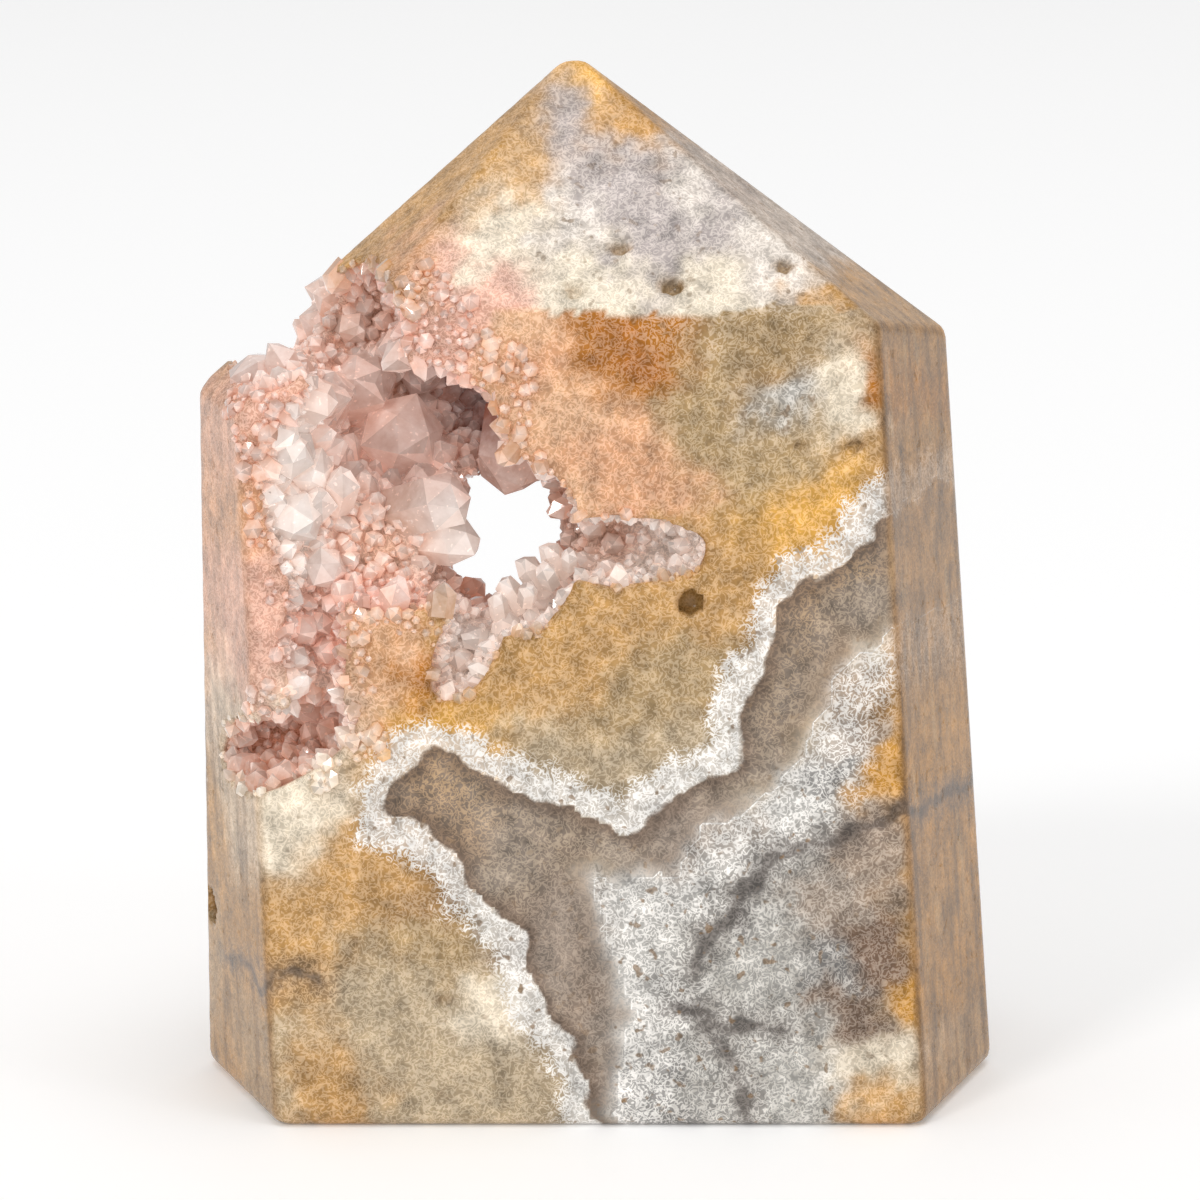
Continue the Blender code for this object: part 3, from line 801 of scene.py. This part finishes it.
def scatter_tree():
    """Geometry nodes that stand crystals on a bed, sized and turned at random."""
    tree = bpy.data.node_groups.new("crystal_scatter", "GeometryNodeTree")
    face = tree.interface
    face.new_socket("Geometry", in_out="INPUT", socket_type="NodeSocketGeometry")
    for name, kind in (("Crystal", "NodeSocketObject"), ("Spacing", "NodeSocketFloat"),
                       ("Density", "NodeSocketFloat"), ("Smallest", "NodeSocketFloat"),
                       ("Largest", "NodeSocketFloat"), ("Stretch", "NodeSocketFloat"),
                       ("Lean", "NodeSocketFloat"), ("Seed", "NodeSocketInt"),
                       ("Material", "NodeSocketMaterial")):
        face.new_socket(name, in_out="INPUT", socket_type=kind)
    face.new_socket("Geometry", in_out="OUTPUT", socket_type="NodeSocketGeometry")
    start = Wire(tree)

    def given(name):
        return start.node("NodeGroupInput", out=name)

    def chance(low, high, step):
        return start.node("FunctionNodeRandomValue", {"data_type": "FLOAT"},
                          {2: low, 3: high, "Seed": given("Seed") + step}, out=1)

    where = start.node("GeometryNodeInputNamedAttribute", {"data_type": "FLOAT"}, {"Name": "where"})
    grow = start.node("GeometryNodeInputNamedAttribute", {"data_type": "FLOAT"}, {"Name": "grow"})
    spots = start.node("GeometryNodeDistributePointsOnFaces", {"distribute_method": "POISSON"},
                       {"Mesh": given("Geometry"), "Distance Min": given("Spacing"),
                        "Density Max": given("Density"), "Density Factor": where, "Seed": given("Seed")})
    normal = Wire(tree, spots.socket.node.outputs["Normal"])
    tilt = start.node("ShaderNodeCombineXYZ", None,
                      {0: chance(-1.0, 1.0, 1), 1: chance(-1.0, 1.0, 2), 2: chance(-1.0, 1.0, 3)})
    leaning = start.node("ShaderNodeVectorMath", {"operation": "SCALE"}, {0: tilt, 3: given("Lean")})
    upward = start.node("ShaderNodeVectorMath", {"operation": "ADD"}, {0: normal, 1: leaning})
    stood = start.node("FunctionNodeAlignRotationToVector", {"axis": "Z"}, {"Vector": upward})
    spin = start.node("ShaderNodeCombineXYZ", None, {2: chance(0.0, math.tau, 4)})
    turned = start.node("FunctionNodeRotateRotation", {"rotation_space": "LOCAL"},
                        {"Rotation": stood, "Rotate By": spin})
    share = chance(0.0, 1.0, 5)
    width = (given("Smallest") + (given("Largest") - given("Smallest")) * share * share) * grow
    height = width * (given("Stretch") * chance(0.75, 1.35, 6))
    scale = start.node("ShaderNodeCombineXYZ", None, {0: width, 1: width * chance(0.8, 1.1, 7), 2: height})
    crystal = start.node("GeometryNodeObjectInfo", None, {"Object": given("Crystal")}, out="Geometry")
    stand = start.node("GeometryNodeInstanceOnPoints", None,
                       {"Points": spots, "Instance": crystal, "Rotation": turned, "Scale": scale})
    marked = start.node("GeometryNodeStoreNamedAttribute", {"data_type": "FLOAT", "domain": "INSTANCE"},
                        {"Geometry": stand, "Name": "chance", "Value": chance(0.0, 1.0, 8)})
    real = start.node("GeometryNodeRealizeInstances", None, {"Geometry": marked})
    # A random value for each face, for the crystals' painted facet highlights.
    faced = start.node("GeometryNodeStoreNamedAttribute", {"data_type": "FLOAT", "domain": "FACE"},
                       {"Geometry": real, "Name": "facet", "Value": chance(0.0, 1.0, 9)})
    flat = start.node("GeometryNodeSetShadeSmooth", None, {"Geometry": faced, "Shade Smooth": False})
    dressed = start.node("GeometryNodeSetMaterial", None, {"Geometry": flat, "Material": given("Material")})
    end = tree.nodes.new("NodeGroupOutput")
    tree.links.new(dressed.socket, end.inputs[0])
    return tree


def grow_crystals(name, bed, crystal, values):
    """Grow crystals over a bed mesh with the scatter nodes; the bed itself is left out."""
    piece = new_piece(name, bed)
    tree = bpy.data.node_groups.get("crystal_scatter") or scatter_tree()
    sockets = {item.name: item.identifier for item in tree.interface.items_tree if item.in_out == "INPUT"}
    modifier = piece.modifiers.new("grow", "NODES")
    modifier.node_group = tree
    modifier[sockets["Crystal"]] = crystal
    for key, value in values.items():
        modifier[sockets[key]] = value
    settled(piece)
    piece.data.name = name
    return piece


def hollow_bed(least, most):
    """A copy of the skin on which crystals grow where its depth under the outside is in range."""
    bed = bpy.data.objects["stone_skin"].data.copy()
    bed.materials.clear()
    places = places_of(bed)
    depth = values_of(bed, "depth")
    within = (depth > least) & (depth < most)
    add_values(bed, "where", within * values_of(bed, "joined"))
    total = np.full(len(places), 0.3)
    weight = np.full(len(places), 0.3)
    for x, y, z, reach, size in CRYSTAL_SIZES:
        share = np.exp(-(np.linalg.norm(places - np.array((x, y, z)), axis=1) / reach) ** 2)
        total += share * size
        weight += share
    add_values(bed, "grow", total / weight)
    return bed


def face_bed():
    """A copy of the skin on which crystals grow by the hollow's edge and in a few patches of the face."""
    bed = hollow_bed(HOLLOW_START, 0.9)
    places = places_of(bed)
    edge = places[values_of(bed, "where") > 0]
    tree = KDTree(len(edge))
    for index, place in enumerate(edge):
        tree.insert(place, index)
    tree.balance()
    outer = values_of(bed, "depth") < HOLLOW_START
    near = [out and tree.find(place)[2] < 0.6 for out, place in zip(outer, places)]
    where = np.array(near, float) * 0.5
    for x, y, z, reach in FACE_CRYSTALS:
        where[outer & (np.linalg.norm(places - np.array((x, y, z)), axis=1) < reach)] = 1
    bed.attributes["where"].data.foreach_set("value", where.astype(np.float32))
    return bed


def finish_crystals(piece):
    mesh = piece.data
    # The crystals' tones, with the painted shade of the deep recess among them.
    loose = wandered(places_of(mesh), 1.0, 2.5, (2, 8, 5))
    add_tones(mesh, blend_tones(loose, CRYSTAL_PATCHES, CRYSTAL_TONES))
    kept_in_box(piece)
    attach(piece, "root")


def drop(piece):
    """Delete a helper object."""
    bpy.data.objects.remove(piece)


def kept_in_box(piece):
    """Press points that stand out of the CAD box back onto it."""
    low, high = CAD_BOX
    for vertex in piece.data.vertices:
        for axis in range(3):
            vertex.co[axis] = min(max(vertex.co[axis], low[axis]), high[axis])


# Operators


class AMETHYST_OT_stone(bpy.types.Operator):
    """Dress the polished stone: an even skin with its painting and polish"""

    bl_idname = "amethyst.stone"
    bl_label = "Stone"

    def execute(self, context):
        settings = context.scene.amethyst_stone
        piece = fine_skin(merged_copy("stone_tower", "stone_skin"), settings.mesh_step)
        paint_stone(piece, settings)
        piece.data.materials.append(stone_material(settings))
        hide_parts("stone_tower")
        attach(piece, "root")
        return {"FINISHED"}


class AMETHYST_OT_points(bpy.types.Operator):
    """Grow the crust of crystals that lines the hollow"""

    bl_idname = "amethyst.points"
    bl_label = "Crystal points"

    def execute(self, context):
        settings = context.scene.amethyst_crystals
        point = new_piece("point", crystal_shape("point", 0.45, BLUNT_TIP))
        for name, spacing, least, most, lean in (
                ("crystal_points", settings.point_spacing, 0.8, 1.9, 0.3),
                ("druse", settings.druse_spacing, 0.4, 0.95, 0.4)):
            bed = hollow_bed(HOLLOW_START, ALL_DEPTHS)
            piece = grow_crystals(name, bed, point, {
                "Spacing": spacing, "Density": CRYSTAL_DENSITY,
                "Smallest": least * MM, "Largest": most * MM, "Stretch": 1.15, "Lean": lean,
                "Seed": settings.seed,
                "Material": crystal_material(name, settings.clearness, settings)})
            finish_crystals(piece)
        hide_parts("crystal_crust")
        drop(point)
        return {"FINISHED"}


class AMETHYST_OT_rim(bpy.types.Operator):
    """Grow the clear crystals round the hollow's rim"""

    bl_idname = "amethyst.rim"
    bl_label = "Rim"

    def execute(self, context):
        settings = context.scene.amethyst_crystals
        point = new_piece("rim_point", crystal_shape("rim_point", 0.6, SHARP_TIP))
        rim = grow_crystals("rim_crystals", hollow_bed(HOLLOW_START, settings.rim_depth / MM), point, {
            "Spacing": settings.rim_spacing, "Density": CRYSTAL_DENSITY,
            "Smallest": 0.3 * MM, "Largest": 0.9 * MM, "Stretch": 1.1, "Lean": 0.7,
            "Seed": settings.seed + 20,
            "Material": crystal_material("clear_quartz", settings.clearness * 2.5, settings)})
        finish_crystals(rim)
        face = grow_crystals("face_crystals", face_bed(), point, {
            "Spacing": settings.rim_spacing * 0.95, "Density": CRYSTAL_DENSITY,
            "Smallest": 0.3 * MM, "Largest": 0.95 * MM, "Stretch": 0.5, "Lean": 0.35,
            "Seed": settings.seed + 30,
            "Material": crystal_material("face_quartz", settings.clearness * 1.5, settings)})
        finish_crystals(face)
        drop(point)
        return {"FINISHED"}


class AMETHYST_OT_large(bpy.types.Operator):
    """Set the large crystals in the hollow"""

    bl_idname = "amethyst.large"
    bl_label = "Large crystals"

    def execute(self, context):
        settings = context.scene.amethyst_crystals
        work = bmesh.new()
        for root, way, radius, length, turn in LARGE_CRYSTALS:
            mesh = crystal_shape("large_point", 0.9, LARGE_TIP)
            stand = Vector(way).to_track_quat("Z", "Y").to_matrix().to_4x4()
            place = (Matrix.Translation(Vector(root) * MM) @ stand
                     @ Matrix.Rotation(math.radians(turn), 4, "Z")
                     @ Matrix.Diagonal((radius * MM, radius * MM, length * MM / LARGE_HEIGHT, 1)))
            mesh.transform(place)
            work.from_mesh(mesh)
            bpy.data.meshes.remove(mesh)
        mesh = bpy.data.meshes.new("large_crystals")
        work.to_mesh(mesh)
        work.free()
        add_values(mesh, "chance", np.full(len(mesh.vertices), 0.3))
        # A random value for each face, for the painted facet highlights.
        shares = np.random.default_rng(settings.seed).random(len(mesh.polygons)).astype(np.float32)
        mesh.attributes.new("facet", "FLOAT", "FACE").data.foreach_set("value", shares)
        piece = new_piece("large_crystals", mesh)
        mesh.materials.append(crystal_material("large_quartz", settings.clearness * 2, settings))
        finish_crystals(piece)
        return {"FINISHED"}


class AMETHYST_OT_stage(bpy.types.Operator):
    """Set the floor, the lights and the camera"""

    bl_idname = "amethyst.stage"
    bl_label = "Stage"

    def execute(self, context):
        scene = context.scene
        settings = scene.amethyst_stage
        mesh = bpy.data.meshes.new("floor")
        work = bmesh.new()
        bmesh.ops.create_grid(work, x_segments=1, y_segments=1, size=2.5)
        work.to_mesh(mesh)
        work.free()
        floor = new_piece("floor", mesh)
        material, _, shader = new_material("pale_floor")
        shader.inputs["Base Color"].default_value = (*settings.floor_colour, 1)
        shader.inputs["Roughness"].default_value = 0.6
        shader.inputs["Emission Color"].default_value = (1, 1, 1, 1)
        shader.inputs["Emission Strength"].default_value = settings.floor_glow
        mesh.materials.append(material)
        world = bpy.data.worlds.new("studio")
        scene.world = world
        world.use_nodes = True
        back = world.node_tree.nodes["Background"]
        back.inputs["Color"].default_value = (1, 1, 1, 1)
        back.inputs["Strength"].default_value = settings.sky_light
        aim = Vector((0, 0, settings.aim_height))
        for name, spot, size, level in LAMPS:
            light = bpy.data.lights.new(name, "AREA")
            light.size = size
            light.energy = level * math.pi ** 2 * (aim - Vector(spot)).length_squared
            lamp = bpy.data.objects.new(name, light)
            lamp.location = spot
            lamp.rotation_euler = (aim - Vector(spot)).to_track_quat("-Z", "Y").to_euler()
            scene.collection.objects.link(lamp)
        lens = bpy.data.cameras.new("camera")
        lens.lens = settings.lens
        lens.sensor_width = 36
        lens.clip_start = 0.01
        camera = bpy.data.objects.new("camera", lens)
        away = Vector((0, -math.cos(settings.elevation), math.sin(settings.elevation)))
        camera.location = aim + away * settings.distance
        camera.rotation_euler = (-away).to_track_quat("-Z", "Y").to_euler()
        scene.collection.objects.link(camera)
        scene.camera = camera
        scene.view_settings.view_transform = "Standard"
        return {"FINISHED"}


class AMETHYST_PT_panel(bpy.types.Panel):
    """Steps of the amethyst tower"""

    bl_idname = "AMETHYST_PT_panel"
    bl_label = "Amethyst tower"
    bl_space_type = "VIEW_3D"
    bl_region_type = "UI"
    bl_category = "Amethyst"

    def draw(self, context):
        for step in STEPS:
            self.layout.operator(step.bl_idname)


STEPS = (AMETHYST_OT_stone, AMETHYST_OT_points, AMETHYST_OT_rim, AMETHYST_OT_large, AMETHYST_OT_stage)
GROUPS = {
    "amethyst_stone": StoneSettings,
    "amethyst_crystals": CrystalSettings,
    "amethyst_stage": StageSettings,
}


def register():
    """Register the settings, the operators and the panel."""
    for kind in (*GROUPS.values(), *STEPS, AMETHYST_PT_panel):
        bpy.utils.register_class(kind)
    for name, kind in GROUPS.items():
        setattr(bpy.types.Scene, name, bpy.props.PointerProperty(type=kind))


def unregister():
    """Remove what register added."""
    for name in GROUPS:
        delattr(bpy.types.Scene, name)
    for kind in reversed((*GROUPS.values(), *STEPS, AMETHYST_PT_panel)):
        bpy.utils.unregister_class(kind)


def main():
    """Register the add-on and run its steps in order."""
    register()
    bpy.ops.amethyst.stone()
    bpy.ops.amethyst.points()
    bpy.ops.amethyst.rim()
    bpy.ops.amethyst.large()
    bpy.ops.amethyst.stage()


if __name__ == "__main__":
    main()
